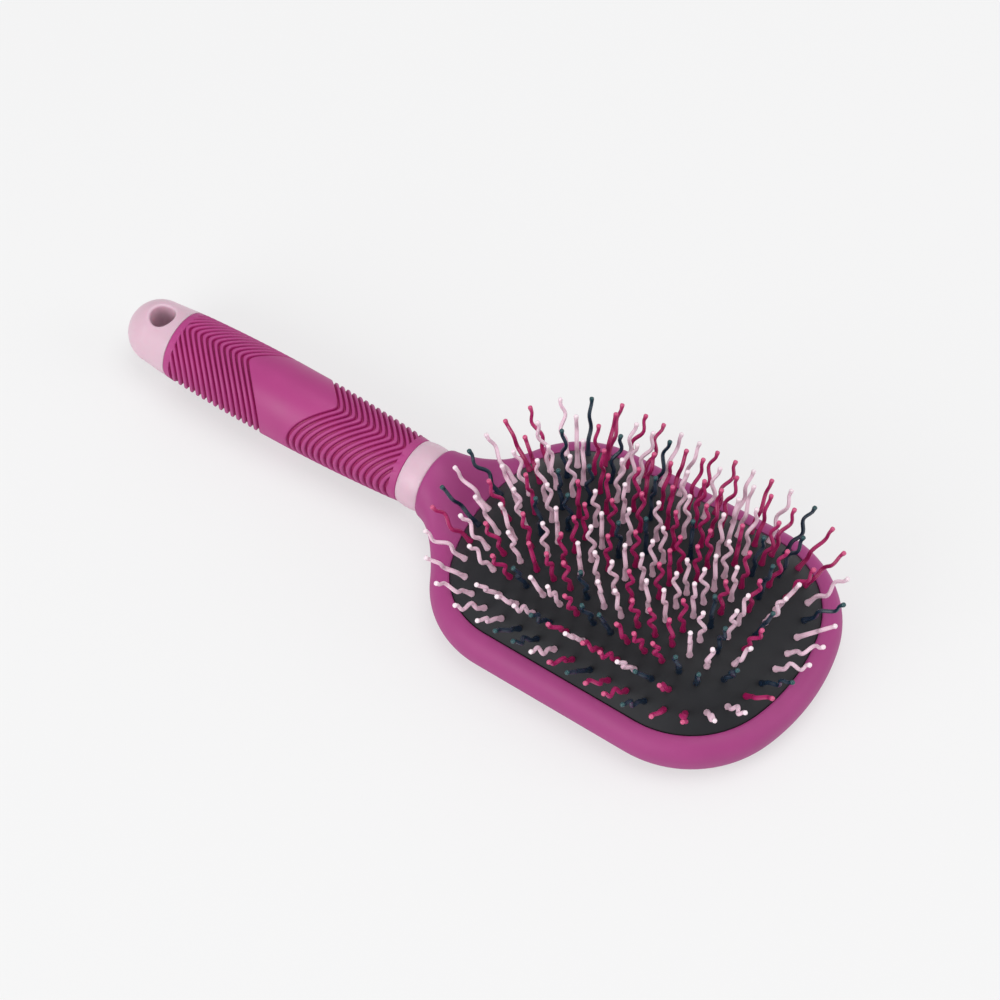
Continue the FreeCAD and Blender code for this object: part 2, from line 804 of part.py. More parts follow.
os.makedirs("parts", exist_ok=True)
for piece in pieces:
    piece.Shape.exportStep(f"parts/{piece.Label}.step")
    print(piece.Label, len(piece.Shape.Solids), "solids", round(piece.Shape.Volume), "mm3")
for zone, heights in zone_heights.items():
    print("zone", zone, len(heights), "pins, mean root height", round(sum(heights) / len(heights), 3))
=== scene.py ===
"""Looks of a paddle hair brush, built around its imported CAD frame."""

import math

import bmesh
import bpy
import numpy as np
from bpy.props import FloatProperty, FloatVectorProperty, IntProperty, PointerProperty
from mathutils import Matrix


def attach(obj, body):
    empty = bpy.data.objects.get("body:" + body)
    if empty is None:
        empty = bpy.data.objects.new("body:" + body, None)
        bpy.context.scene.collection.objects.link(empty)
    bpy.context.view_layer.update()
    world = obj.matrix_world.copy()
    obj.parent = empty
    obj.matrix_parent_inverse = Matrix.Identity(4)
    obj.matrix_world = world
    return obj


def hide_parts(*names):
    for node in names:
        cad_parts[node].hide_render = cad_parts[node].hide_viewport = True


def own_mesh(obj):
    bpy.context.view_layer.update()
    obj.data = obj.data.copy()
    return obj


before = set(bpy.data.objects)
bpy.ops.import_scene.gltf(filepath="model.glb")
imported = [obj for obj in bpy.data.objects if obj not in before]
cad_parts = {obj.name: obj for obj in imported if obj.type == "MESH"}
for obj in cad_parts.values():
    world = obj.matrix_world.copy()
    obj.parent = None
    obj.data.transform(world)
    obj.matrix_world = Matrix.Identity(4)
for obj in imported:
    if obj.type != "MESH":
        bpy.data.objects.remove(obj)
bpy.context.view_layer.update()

bl_info = {
    "name": "Paddle brush looks",
    "version": (1, 0, 0),
    "blender": (4, 5, 0),
    "location": "View3D > Sidebar > Brush",
    "description": "Builds the visible pieces of a paddle hair brush around its CAD frame",
    "category": "Object",
}

BODY = "brush_body"


# Sizes and colours

def length(name, default, description):
    """Length property in metres."""
    return FloatProperty(name=name, description=description, default=default, unit="LENGTH", precision=5)


def share(name, default, description):
    """Plain ratio property."""
    return FloatProperty(name=name, description=description, default=default, precision=3)


def colour(name, default, description):
    """Linear colour property."""
    return FloatVectorProperty(
        name=name, description=description, default=default, size=3, subtype="COLOR", min=0.0, max=1.0)


class PadSizes(bpy.types.PropertyGroup):
    """Outline of the opening that the cushion fills."""

    middle: length("Middle", 0.06205, "Place of the pad's middle along the brush")
    length: length("Length", 0.1087, "Length of the opening")
    width: length("Width", 0.0745, "Width of the opening near its tip")
    neck_width: length("Neck width", 0.0730, "Width of the opening near the neck")
    tip_radius: length("Tip radius", 0.0598, "Radius of the tip's arc")
    neck_radius: length("Neck radius", 0.0607, "Radius of the arc at the neck")
    tip_corner: length("Tip corner", 0.0284, "Radius of the corners at the tip")
    neck_corner: length("Neck corner", 0.0244, "Radius of the corners at the neck")
    rim_height: length("Rim height", 0.0142, "Height of the rim over the surface below")


class PaddleSizes(bpy.types.PropertyGroup):
    """Rim, neck and back of the paddle."""

    rim_width: length("Rim width", 0.0061, "Width of the rim around the opening")
    top_round: length("Top round", 0.0056, "Reach of the rounding on the top")
    back_round: length("Back round", 0.0076, "Reach of the rounding on the back")
    equator: length("Equator", 0.0080, "Height of the rim's widest line")
    lip_round: length("Lip round", 0.0005, "Rounding of the lip at the cushion")
    lip_drop: length("Lip drop", 0.0052, "Depth of the wall below the lip")
    vent_radius: length("Vent radius", 0.0015, "Radius of the vent in the back")
    neck_start: length("Neck start", -0.0094, "Place of the neck's end at the collar")
    neck_radius: length("Neck radius", 0.0112, "Radius of the neck at the collar")
    neck_round: length("Neck round", 0.0013, "Rounding of the neck's end")
    axis_height: length("Axis height", 0.0124, "Height of the handle's axis")
    flare_power: share("Flare power", 1.8, "How late the neck's sides flare out")
    fall_power: share("Fall power", 1.7, "How the neck's top falls towards the rim")


class CushionSizes(bpy.types.PropertyGroup):
    """Dome of the rubber membrane."""

    gap: length("Gap", 0.0002, "Gap between the membrane and the lip")
    crown: length("Crown", 0.0126, "Height of the dome over the rim")
    skirt: length("Skirt", 0.0042, "Depth of the skirt below the rim")
    side_power: share("Side power", 3.3, "Fullness of the dome across the brush")
    end_power: share("End power", 5.5, "Fullness of the dome along the brush")
    keep: share("Keep", 0.515, "Height that is left when the crown is pressed in")


class HandleSizes(bpy.types.PropertyGroup):
    """Collar, grip and end cap."""

    cap_tip: length("Cap tip", -0.1225, "Place of the cap's tip along the brush")
    cap_length: length("Cap length", 0.0192, "Length of the end cap")
    cap_dome: length("Cap dome", 0.0102, "Radius of the cap's dome")
    hole_radius: length("Hole radius", 0.0040, "Radius of the hanging hole")
    hole_place: length("Hole place", 0.0120, "Distance of the hanging hole from the tip")
    hole_round: length("Hole round", 0.0007, "Rounding of the hole's edge")
    grip_length: length("Grip length", 0.0863, "Length of the grip")
    grip_cap_radius: length("Grip radius at cap", 0.01105, "Radius of the grip at the cap")
    grip_middle_radius: length("Grip radius", 0.0122, "Radius of the grip at its middle")
    grip_collar_radius: length("Grip radius at collar", 0.01015, "Radius of the grip at the collar")
    bore_radius: length("Bore radius", 0.0071, "Radius of the bore around the tang")
    edge_round: length("Edge round", 0.0004, "Rounding of the end edges")
    groove_pitch: length("Groove pitch", 0.0022, "Distance from one groove to the next")
    groove_width: length("Groove width", 0.00112, "Width of a groove")
    groove_depth: length("Groove depth", 0.00105, "Depth of a groove")
    groove_band: length("Plain band", 0.0023, "Plain band at each end of the grip")
    groove_count: IntProperty(name="Grooves", description="Grooves in each group", default=16)
    apex_round: length("Apex round", 0.0012, "Rounding of each groove's apex")
    panel_start: length("Panel start", 0.0253, "Start of the plain panel from the cap")
    panel_length: length("Panel length", 0.0343, "Length of the plain panel")
    collar_radius: length("Collar radius", 0.01015, "Radius of the collar's edges")
    collar_crown: length("Collar crown", 0.00035, "Swelling of the collar between its edges")
    collar_length: length("Collar length", 0.0076, "Length of the collar")


class PinSizes(bpy.types.PropertyGroup):
    """Shape and places of the pins."""

    row_pitch: length("Row pitch", 0.00545, "Distance between rows")
    column_pitch: length("Column pitch", 0.0058, "Distance along a row")
    ring_inset: length("Ring inset", 0.0046, "Inset of the outer ring from the opening")
    ring_pitch: length("Ring pitch", 0.00615, "Distance along the outer ring")
    inner_inset: length("Inner inset", 0.0090, "Inset of the rows from the opening")
    wave_reach: length("Wave reach", 0.00115, "Sideways reach of the waves")
    wave_length: length("Wave length", 0.0094, "Length of one wave")
    wave_start: length("Wave start", 0.00565, "Height of the first wave's middle line")
    turn: share("Turn", 137.5, "Turn of each pin against the one before, in degrees")
    sides: IntProperty(name="Sides", description="Sides of a pin", default=4)


class Finishes(bpy.types.PropertyGroup):
    """Colours of the finishes, as linear values; the groove, pin root and pin tip colours hold painted shade
    and painted light.
    """

    paddle: colour("Paddle", (0.350, 0.046, 0.198), "Soft-touch coat of the paddle")
    paddle_sheen: colour("Paddle sheen", (0.85, 0.45, 0.75), "Sheen of the soft-touch coat")
    rib: colour("Rib", (0.395, 0.038, 0.198), "Tops of the grip's ribs")
    # Painted shade: the groove colour is the rib colour darkened and deepened to stand in for the shade on
    # the grooves' floors.
    groove: colour("Groove", (0.340, 0.004, 0.115), "Floors of the grip's grooves")
    trim: colour("Trim", (0.675, 0.465, 0.555), "Collar and end cap")
    rubber: colour("Rubber", (0.012, 0.013, 0.016), "Membrane of the cushion")
    # Pin colours: each root colour is a painted shade at the foot, each tip colour a painted highlight on
    # the ball; the strand colours are the nylon's own.
    pale_root: colour("Pale root", (0.790, 0.545, 0.650), "Foot of a pale pin")
    pale_strand: colour("Pale strand", (0.830, 0.590, 0.700), "Strand of a pale pin")
    pale_tip: colour("Pale tip", (0.900, 0.745, 0.810), "Ball of a pale pin")
    crimson_root: colour("Crimson root", (0.315, 0.006, 0.085), "Foot of a crimson pin")
    crimson_strand: colour("Crimson strand", (0.405, 0.017, 0.124), "Strand of a crimson pin")
    crimson_tip: colour("Crimson tip", (0.600, 0.085, 0.215), "Ball of a crimson pin")
    navy_root: colour("Navy root", (0.006, 0.016, 0.036), "Foot of a navy pin")
    navy_strand: colour("Navy strand", (0.008, 0.026, 0.048), "Strand of a navy pin")
    # The teal of the navy tip is a painted glint on the ball.
    navy_tip: colour("Navy tip", (0.014, 0.070, 0.078), "Ball of a navy pin")
    floor: colour("Floor", (0.840, 0.840, 0.846), "Surface that the brush lies on")
    backdrop: colour("Backdrop", (0.920, 0.920, 0.920), "Even light of the surface as the camera sees it")


class BrushSettings(bpy.types.PropertyGroup):
    """All settings of the brush."""

    pad: PointerProperty(type=PadSizes)
    paddle: PointerProperty(type=PaddleSizes)
    cushion: PointerProperty(type=CushionSizes)
    handle: PointerProperty(type=HandleSizes)
    pins: PointerProperty(type=PinSizes)
    finishes: PointerProperty(type=Finishes)


# Meshes

MERGE = 2e-7


def grid_faces(rows, columns, wrap_rows, wrap_columns):
    """Quads of a grid of points, joined end to end along rows or columns where asked."""
    row = np.arange(rows if wrap_rows else rows - 1)
    column = np.arange(columns if wrap_columns else columns - 1)
    a, b = np.meshgrid(row, column, indexing="ij")
    a2, b2 = (a + 1) % rows, (b + 1) % columns
    corners = [a * columns + b, a * columns + b2, a2 * columns + b2, a2 * columns + b]
    return np.stack(corners, axis=-1).reshape(-1, 4)


def add_piece(name, points, faces, body, material, attributes=None, sharp=35.0):
    """Mesh object from points and faces, with collapsed faces merged and normals outwards."""
    mesh = bpy.data.meshes.new(name)
    mesh.from_pydata(points.reshape(-1, 3).tolist(), [], faces.tolist())
    for label, values in (attributes or {}).items():
        layer = mesh.attributes.new(label, "FLOAT", "POINT")
        layer.data.foreach_set("value", np.asarray(values, np.float32).ravel())
    work = bmesh.new()
    work.from_mesh(mesh)
    bmesh.ops.remove_doubles(work, verts=work.verts, dist=MERGE)
    bmesh.ops.dissolve_degenerate(work, edges=work.edges, dist=MERGE)
    bmesh.ops.recalc_face_normals(work, faces=work.faces)
    work.to_mesh(mesh)
    work.free()
    mesh.shade_smooth()
    mesh.set_sharp_from_angle(angle=math.radians(sharp))
    mesh.materials.append(material)
    piece = bpy.data.objects.new(name, mesh)
    bpy.context.scene.collection.objects.link(piece)
    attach(piece, body)
    return piece


def smooth(piece):
    """One level of subdivision."""
    modifier = piece.modifiers.new("smooth", "SUBSURF")
    modifier.levels = 1
    modifier.render_levels = 1


def smooth_step(value):
    """Rise from 0 to 1 with level ends."""
    value = np.clip(value, 0.0, 1.0)
    return value * value * (3.0 - 2.0 * value)


def round_rise(depth, reach):
    """Quarter ellipse: 0 at the edge, 1 from reach inwards."""
    return np.sqrt(np.clip(1.0 - np.clip(1.0 - depth / reach, 0.0, 1.0) ** 2, 0.0, 1.0))


# Outline of the pad

OUTLINE_COUNTS = (26, 20, 34, 30, 22)


def outline(pad, width=1.0, length_share=1.0, grow=0.0, counts=OUTLINE_COUNTS):
    """Closed outline of the pad: x, y and the angle of its normal.

    Five tangent curves run from the tip to the neck: the tip's arc, a corner, a straight side,
    a corner and the neck's arc. The other side mirrors them. The outline is drawn in to shares
    of its width and length, and then grown; arrays give one outline a row.
    """
    width, length_share, grow = (
        np.atleast_1d(np.asarray(value, float))[:, None] for value in (width, length_share, grow))
    width, length_share, grow = np.broadcast_arrays(width, length_share, grow)
    tip_radius = width * pad.tip_radius + grow
    neck_radius = width * pad.neck_radius + grow
    tip_corner = width * pad.tip_corner + grow
    neck_corner = width * pad.neck_corner + grow
    tip_y = width * pad.width / 2 + grow - tip_corner
    neck_y = width * pad.neck_width / 2 + grow - neck_corner
    tip_run = np.sqrt((tip_radius - tip_corner) ** 2 - tip_y ** 2)
    neck_run = np.sqrt((neck_radius - neck_corner) ** 2 - neck_y ** 2)
    tip_x = pad.middle + length_share * pad.length / 2 + grow - tip_radius
    neck_x = pad.middle - length_share * pad.length / 2 - grow + neck_radius
    corner_x, neck_corner_x = tip_x + tip_run, neck_x - neck_run
    across_x, across_y = neck_corner_x - corner_x, neck_y - tip_y
    turn = np.arcsin((tip_corner - neck_corner) / np.hypot(across_x, across_y))
    tip_angle = np.arctan2(tip_y, tip_run)
    side_angle = (np.arctan2(across_y, across_x) - math.pi / 2 + turn) % (2 * math.pi)
    neck_angle = math.pi - np.arctan2(neck_y, neck_run)
    level = np.zeros_like(tip_x)
    curves = (
        (tip_x, level, tip_radius, level, tip_angle),
        (corner_x, tip_y, tip_corner, tip_angle, side_angle),
        None,
        (neck_corner_x, neck_y, neck_corner, side_angle, neck_angle),
        (neck_x, level, neck_radius, neck_angle, level + math.pi),
    )
    xs, ys, angles = [], [], []
    for number, (curve, count) in enumerate(zip(curves, counts)):
        last = number == len(counts) - 1
        along = np.linspace(0.0, 1.0, count, endpoint=last)[None, :]
        if curve is None:
            angle = side_angle + 0.0 * along
            radius = tip_corner + along * (neck_corner - tip_corner)
            x = corner_x + along * across_x + np.cos(angle) * radius
            y = tip_y + along * across_y + np.sin(angle) * radius
        else:
            centre_x, centre_y, radius, start, end = curve
            angle = start + along * (end - start)
            x = centre_x + radius * np.cos(angle)
            y = centre_y + radius * np.sin(angle)
        xs.append(x)
        ys.append(y)
        angles.append(angle)
    x, y, angle = (np.concatenate(part, axis=1) for part in (xs, ys, angles))
    back = slice(-2, 0, -1)
    x = np.concatenate((x, x[:, back]), axis=1)
    y = np.concatenate((y, -y[:, back]), axis=1)
    angle = np.concatenate((angle, 2 * math.pi - angle[:, back]), axis=1)
    return x, y, angle


def along_curve(x, y, places):
    """Points of a polyline at shares of its length."""
    steps = np.hypot(np.diff(x), np.diff(y))
    run = np.concatenate(([0.0], np.cumsum(steps)))
    return np.interp(places * run[-1], run, x), np.interp(places * run[-1], run, y)


# Paddle

FLARE_ANGLE = math.radians(150.0)
TOP_ROWS = 22
BACK_ROWS = 5


def neck_flare(pad, paddle):
    """Half width of the neck and its slope at places along it, and where it meets the head.

    The half width starts at the neck's radius and grows with a power of the way to the head.
    """
    centre_x, centre_y, radius = head_corner(pad, paddle)
    join_x = centre_x + radius * math.cos(FLARE_ANGLE)
    join_y = centre_y + radius * math.sin(FLARE_ANGLE)
    run = join_x - paddle.neck_start
    rise = join_y - paddle.neck_radius

    def half(x):
        way = np.clip((x - paddle.neck_start) / run, 0.0, None)
        flare = paddle.neck_radius + rise * way ** paddle.flare_power
        slope = rise / run * paddle.flare_power * way ** (paddle.flare_power - 1.0)
        reach = np.sqrt(np.clip(radius ** 2 - (centre_x - x) ** 2, 1e-12, None))
        outside = x > join_x
        return (
            np.where(outside, centre_y + reach, flare),
            np.where(outside, (centre_x - x) / reach, slope),
        )

    return half, join_x


def head_corner(pad, paddle):
    """Centre and radius of the head's outer corner arc next to the neck."""
    neck_y = pad.neck_width / 2 - pad.neck_corner
    neck_run = math.sqrt((pad.neck_radius - pad.neck_corner) ** 2 - neck_y ** 2)
    centre_x = pad.middle - pad.length / 2 + pad.neck_radius - neck_run
    return centre_x, neck_y, pad.neck_corner + paddle.rim_width


def paddle_points(pad, paddle):
    """Closed skin of the paddle as a ring of section lines.

    Each line starts on the lip of the opening, crosses the top to the outermost line, runs back
    under it to the vent, and returns over the well's floor to the lip. Around the head the
    outermost line is the outline grown by the rim; at the neck it follows the flare to the
    collar and then crosses the neck's end. Heights are quarter ellipses over the distance
    from that line, whose size passes from the neck's circle to the rim's rounding.
    """
    x, y, angle = (value[0] for value in outline(pad))
    columns = len(x)
    half_count = columns // 2 + 1
    half, join_x = neck_flare(pad, paddle)
    outer_x = x + paddle.rim_width * np.cos(angle)
    outer_y = y + paddle.rim_width * np.sin(angle)
    first = int(np.argmax(angle[:half_count] > FLARE_ANGLE))
    neck = np.arange(first, half_count)
    # Outermost line of the neck: flare, rounded edge and half of the end
    end_x = paddle.neck_start
    flat = paddle.neck_radius - paddle.neck_round
    flare_x = np.linspace(join_x, end_x + paddle.neck_round, 60)
    turn = np.linspace(0.0, math.pi / 2, 9)[1:]
    edge_x = end_x + paddle.neck_round * (1.0 - np.sin(turn))
    edge_y = half(end_x + paddle.neck_round * np.ones(1))[0] - paddle.neck_round * (1.0 - np.cos(turn))
    path_x = np.concatenate((flare_x, edge_x, [end_x]))
    path_y = np.concatenate((half(flare_x)[0], edge_y, [0.0]))
    lip_run = np.concatenate(([0.0], np.cumsum(np.hypot(
        np.diff(x[first - 1:half_count]), np.diff(y[first - 1:half_count])))))
    way = lip_run[1:] / lip_run[-1]
    outer_x[neck], outer_y[neck] = along_curve(path_x, path_y, way)
    mirror = np.arange(half_count, columns)
    outer_x[mirror] = outer_x[columns - mirror]
    outer_y[mirror] = -outer_y[columns - mirror]
    in_neck = np.zeros(columns)
    in_neck[neck] = smooth_step(way * 2.2)
    in_neck[mirror] = in_neck[columns - mirror]
    # Plan of the section lines, closely spaced at the outermost line
    reach = np.sin(np.linspace(0.0, math.pi / 2, TOP_ROWS))[:, None]
    inset_x = x + paddle.lip_round * np.cos(angle)
    inset_y = y + paddle.lip_round * np.sin(angle)
    plan_x = inset_x + reach * (outer_x - inset_x)
    plan_y = inset_y + reach * (outer_y - inset_y)
    # Distance from the outermost line, along the head's lines and across the neck's sections
    line_depth = (1.0 - reach) * np.hypot(outer_x - inset_x, outer_y - inset_y)
    width, slope = half(plan_x)
    end_way = np.clip((end_x + paddle.neck_round - plan_x) / paddle.neck_round, 0.0, 1.0)
    cut = paddle.neck_round * (1.0 - np.sqrt(1.0 - end_way ** 2))
    section_depth = np.clip((width - cut - np.abs(plan_y)) / np.sqrt(1.0 + slope ** 2), 0.0, None)
    depth = line_depth + in_neck * (section_depth - line_depth)
    lip_x = pad.middle - pad.length / 2
    fall = 1.0 - np.clip((plan_x - end_x) / (lip_x - end_x), 0.0, 1.0) ** 2
    fall = in_neck * fall ** paddle.fall_power
    round_way = fall ** 0.75
    top_reach = paddle.top_round + round_way * (width - cut - paddle.top_round)
    back_reach = paddle.back_round + round_way * (width - cut - paddle.back_round)
    shrink = 1.0 - cut / paddle.neck_radius
    equator = paddle.equator + fall * (paddle.axis_height - paddle.equator)
    crest = pad.rim_height + fall * (paddle.axis_height + paddle.neck_radius - pad.rim_height)
    keel = fall * (paddle.axis_height - paddle.neck_radius)
    top_z = equator + shrink * (crest - equator) * round_rise(depth, top_reach)
    back_z = equator - shrink * (equator - keel) * round_rise(depth, back_reach)
    top = np.stack((plan_x, plan_y, top_z), axis=-1)
    under = np.stack((plan_x, plan_y, back_z), axis=-1)[::-1]
    # Back, vent, floor and wall of the well
    bearing = np.arctan2(y, x - pad.middle)
    vent_x = pad.middle + paddle.vent_radius * np.cos(bearing)
    vent_y = paddle.vent_radius * np.sin(bearing)
    inward = np.linspace(0.0, 1.0, BACK_ROWS + 1)[1:, None]
    back = np.stack(np.broadcast_arrays(
        inset_x + inward * (vent_x - inset_x), inset_y + inward * (vent_y - inset_y), 0.0), axis=-1)
    floor_z = pad.rim_height - paddle.lip_drop
    floor = np.stack(np.broadcast_arrays(
        x + inward[::-1] * (vent_x - x), y + inward[::-1] * (vent_y - y), floor_z), axis=-1)
    wall = [
        np.stack(np.broadcast_arrays(x + out * np.cos(angle), y + out * np.sin(angle), z), axis=-1)
        for out, z in (
            (0.0, floor_z),
            (0.0, pad.rim_height - paddle.lip_round),
            (paddle.lip_round * 0.3, pad.rim_height - paddle.lip_round * 0.3),
        )
    ]
    return np.concatenate((top, under, back, floor, np.stack(wall)), axis=0)


# Cushion

DOME_ROWS = 46
DOME_START_SHARE = 0.004


def cushion_points(pad, cushion):
    """Closed dome: contour lines of the outline, drawn in and lifted.

    A contour drawn in to a share w of the width lies at crown times (1 - w to the side power),
    and its length share is w to the side power over the end power. A skirt and a flat base close it.
    """
    width = np.sin(np.linspace(0.0, math.pi / 2, DOME_ROWS))[1:]
    width = np.concatenate(([DOME_START_SHARE], width))
    x, y, _ = outline(
        pad, width, width ** (cushion.side_power / cushion.end_power), -cushion.gap * width)
    z = pad.rim_height + cushion.crown * (1.0 - width ** cushion.side_power)
    dome = np.stack(np.broadcast_arrays(x, y, z[:, None]), axis=-1)
    peak = np.broadcast_to(dome[0].mean(axis=0), dome[0].shape)
    edge = dome[-1]
    skirt = edge - np.array((0.0, 0.0, cushion.skirt))
    base = np.broadcast_to(skirt.mean(axis=0), skirt.shape)
    return np.concatenate((peak[None], dome, skirt[None], base[None]), axis=0)


# Handle

AROUND = 144


def turned(axis_height, along, radius, turn):
    """Points at a distance along the handle, a radius and a turn from the top."""
    return np.stack(
        np.broadcast_arrays(along, radius * np.sin(turn), axis_height + radius * np.cos(turn)), axis=-1)


def full_turn(count):
    """Angles of a full turn, without its repeat."""
    return np.linspace(0.0, 2 * math.pi, count, endpoint=False)


def collar_points(handle, paddle):
    """Ring turned about the handle's axis: a slightly swollen band with rounded edges and a bore."""
    end = paddle.neck_start
    start = end - handle.collar_length
    way = np.linspace(0.0, 1.0, 13)
    edge = handle.edge_round
    band_x = start + edge + way * (handle.collar_length - 2 * edge)
    band_r = handle.collar_radius + handle.collar_crown * 4 * way * (1 - way)
    rise = np.sin(np.linspace(0.0, math.pi / 2, 5))[:-1]
    along = np.concatenate((
        [start], start + edge * (1 - np.sqrt(1 - rise ** 2)), band_x,
        (end - edge * (1 - np.sqrt(1 - rise ** 2)))[::-1], [end]))
    radius = np.concatenate((
        [handle.bore_radius], handle.collar_radius - edge * (1 - rise), band_r,
        (handle.collar_radius - edge * (1 - rise))[::-1], [handle.bore_radius]))
    return turned(paddle.axis_height, along[:, None], radius[:, None], full_turn(AROUND)[None, :])


def grip_radius(handle, along):
    """Radius of the grip at a distance from the cap: a line between its ends plus a parabola."""
    way = np.clip(along / handle.grip_length, 0.0, 1.0)
    ends = handle.grip_cap_radius + way * (handle.grip_collar_radius - handle.grip_cap_radius)
    swell = handle.grip_middle_radius - (handle.grip_cap_radius + handle.grip_collar_radius) / 2
    return ends + swell * 4 * way * (1 - way)


# Section of one groove: offset in shares of its width, depth in shares of its depth
GROOVE_SHARES = (
    (-0.16, 0.00),
    (0.00, 0.12),
    (0.12, 0.60),
    (0.26, 1.00),
    (0.74, 1.00),
    (0.88, 0.60),
    (1.00, 0.12),
    (1.16, 0.00),
    (1.48, -0.06),
)


def grip_points(handle, paddle):
    """Ribbed sleeve: stations along the grip that follow two groups of V grooves, and its bore.

    A groove's place runs out from its apex with the distance from the middle plane, towards the
    head in the cap's group and towards the cap in the other. Stations past the plain end bands
    stop at them. The radius is the grip's less the groove's section.
    """
    turn = full_turn(AROUND)[None, :]
    shares = np.array(GROOVE_SHARES)
    steps = np.arange(handle.groove_count)
    offsets = shares[:, 0] * handle.groove_width
    near = handle.panel_start - steps[::-1, None] * handle.groove_pitch + offsets[None, :]
    panel_end = handle.panel_start + handle.panel_length
    far = panel_end + steps[:, None] * handle.groove_pitch - offsets[None, ::-1]
    apex = np.concatenate((near.ravel(), far.ravel()))
    sweep = np.concatenate((np.ones(near.size), -np.ones(far.size)))
    depth = np.concatenate((
        np.tile(shares[:, 1], handle.groove_count), np.tile(shares[::-1, 1], handle.groove_count)))
    across = np.abs(np.sin(turn))
    along = apex[:, None] + np.zeros_like(turn)
    for _ in range(3):
        side = grip_radius(handle, along) * across
        side = np.sqrt(side ** 2 + handle.apex_round ** 2) - handle.apex_round
        along = apex[:, None] + sweep[:, None] * side
    low, high = handle.groove_band, handle.grip_length - handle.groove_band
    inside = (along > low) & (along < high)
    along = np.clip(along, low, high)
    groove = np.where(inside, depth[:, None], 0.0)
    radius = grip_radius(handle, along) - groove * handle.groove_depth
    edge = handle.edge_round
    rise = np.sin(np.linspace(0.0, math.pi / 2, 5))
    start_x = edge * (1 - np.sqrt(1 - rise ** 2))
    start_r = handle.grip_cap_radius - edge * (1 - rise)
    end_r = handle.grip_collar_radius - edge * (1 - rise)
    ring = np.ones_like(turn)
    before_x = np.concatenate(([0.0], start_x))[:, None] * ring
    before_r = np.concatenate(([handle.bore_radius], start_r))[:, None] * ring
    after_x = np.concatenate((handle.grip_length - start_x[::-1], [handle.grip_length]))[:, None] * ring
    after_r = np.concatenate((end_r[::-1], [handle.bore_radius]))[:, None] * ring
    along = np.concatenate((before_x, along, after_x), axis=0)
    radius = np.concatenate((before_r, radius, after_r), axis=0)
    # The groove share, 0 on the ribs and 1 on the floors, is also the mask of the painted groove shade.
    groove = np.concatenate((0 * before_x, np.clip(groove, 0.0, 1.0), 0 * after_x), axis=0)
    start = handle.cap_tip + handle.cap_length
    return turned(paddle.axis_height, start + along, radius, turn), groove


CAP_ROWS = 18


def cap_points(handle, paddle):
    """Domed end cap with a hole across it, as a ring of lines around the hole.

    Each line runs from the hole's wall over its rounded edge and across the top to the cap's
    widest line, or to the cap's flat end, and returns below. The height over the axis is the
    root of the cap's squared radius less the squared distance from the middle plane.
    """
    bearing = full_turn(120)
    hole_x = handle.cap_tip + handle.hole_place
    end_x = handle.cap_tip + handle.cap_length
    dome_x = handle.cap_tip + handle.cap_dome

    def cap_radius(x):
        ball = np.sqrt(np.clip(handle.cap_dome ** 2 - (dome_x - x) ** 2, 0.0, None))
        cone = handle.cap_dome + (x - dome_x) * (handle.grip_cap_radius - handle.cap_dome) / (end_x - dome_x)
        return np.where(x < dome_x, ball, cone)

    # Distance from the hole's axis to the widest line, found by halving
    low = np.full_like(bearing, handle.hole_radius)
    high = np.full_like(bearing, handle.cap_length)
    for _ in range(50):
        middle = (low + high) / 2
        x = hole_x + middle * np.cos(bearing)
        inside = (x < end_x) & (cap_radius(x) > np.abs(middle * np.sin(bearing)))
        low, high = np.where(inside, middle, low), np.where(inside, high, middle)
    start = handle.hole_radius + handle.hole_round
    way = np.sin(np.linspace(0.0, math.pi / 2, CAP_ROWS))[:, None]
    out = start + way * (low - start)

    def height(out):
        x = hole_x + out * np.cos(bearing)
        return np.sqrt(np.clip(cap_radius(x) ** 2 - (out * np.sin(bearing)) ** 2, 0.0, None))

    rounding = np.linspace(0.0, math.pi / 2, 6)[:-1, None]
    edge_out = start - handle.hole_round * np.cos(rounding)
    edge_height = height(start * np.ones((1, 1))) - handle.hole_round * (1 - np.sin(rounding))
    outs = np.concatenate((edge_out + 0 * bearing, out), axis=0)
    heights = np.concatenate((edge_height, height(out)), axis=0)

    def half(sign):
        return np.stack((
            hole_x + outs * np.cos(bearing),
            outs * np.sin(bearing),
            paddle.axis_height + sign * heights), axis=-1)

    return np.concatenate((half(1.0), half(-1.0)[::-1]), axis=0)


# Pins

PIN_LENGTH = 0.018
# Rings of a pin: height in metres over the membrane, radius in metres
PIN_RINGS = (
    (-0.00160, 0.00000),
    (-0.00160, 0.00100),
    (-0.00010, 0.00126),
    (0.00060, 0.00122),
    (0.00140, 0.00090),
    (0.00330, 0.00085),
    (0.00500, 0.00083),
    (0.00650, 0.00081),
    (0.00800, 0.00079),
    (0.00960, 0.00077),
    (0.01120, 0.00075),
    (0.01270, 0.00073),
    (0.01420, 0.00071),
    (0.01560, 0.00069),
    (0.01645, 0.00070),
    (0.01705, 0.00096),
    (0.01770, 0.00086),
    (0.01800, 0.00000),
)
PIN_FOOT = 0.00105
# Rings of few sides are drawn in by the smoothing that follows
RING_SWELL = 1.26
WAVE_SWELL = 1.12
# Where the wave starts and ends on a pin, and how far it fades there
WAVE_FOOT, WAVE_FOOT_FADE = 0.0016, 0.0055
WAVE_TIP, WAVE_TIP_FADE = 0.0168, 0.0030
# Pin colours, one letter a pin: P pale pink, C crimson, N navy
# The ring runs from the neck along the -Y side to the tip, and back along the +Y side
RING_COLOURS = "PNCPPPPPNNPCNCCNCCPPCNPPPNPCCNPCPCCPPCCCNPCCPNP"
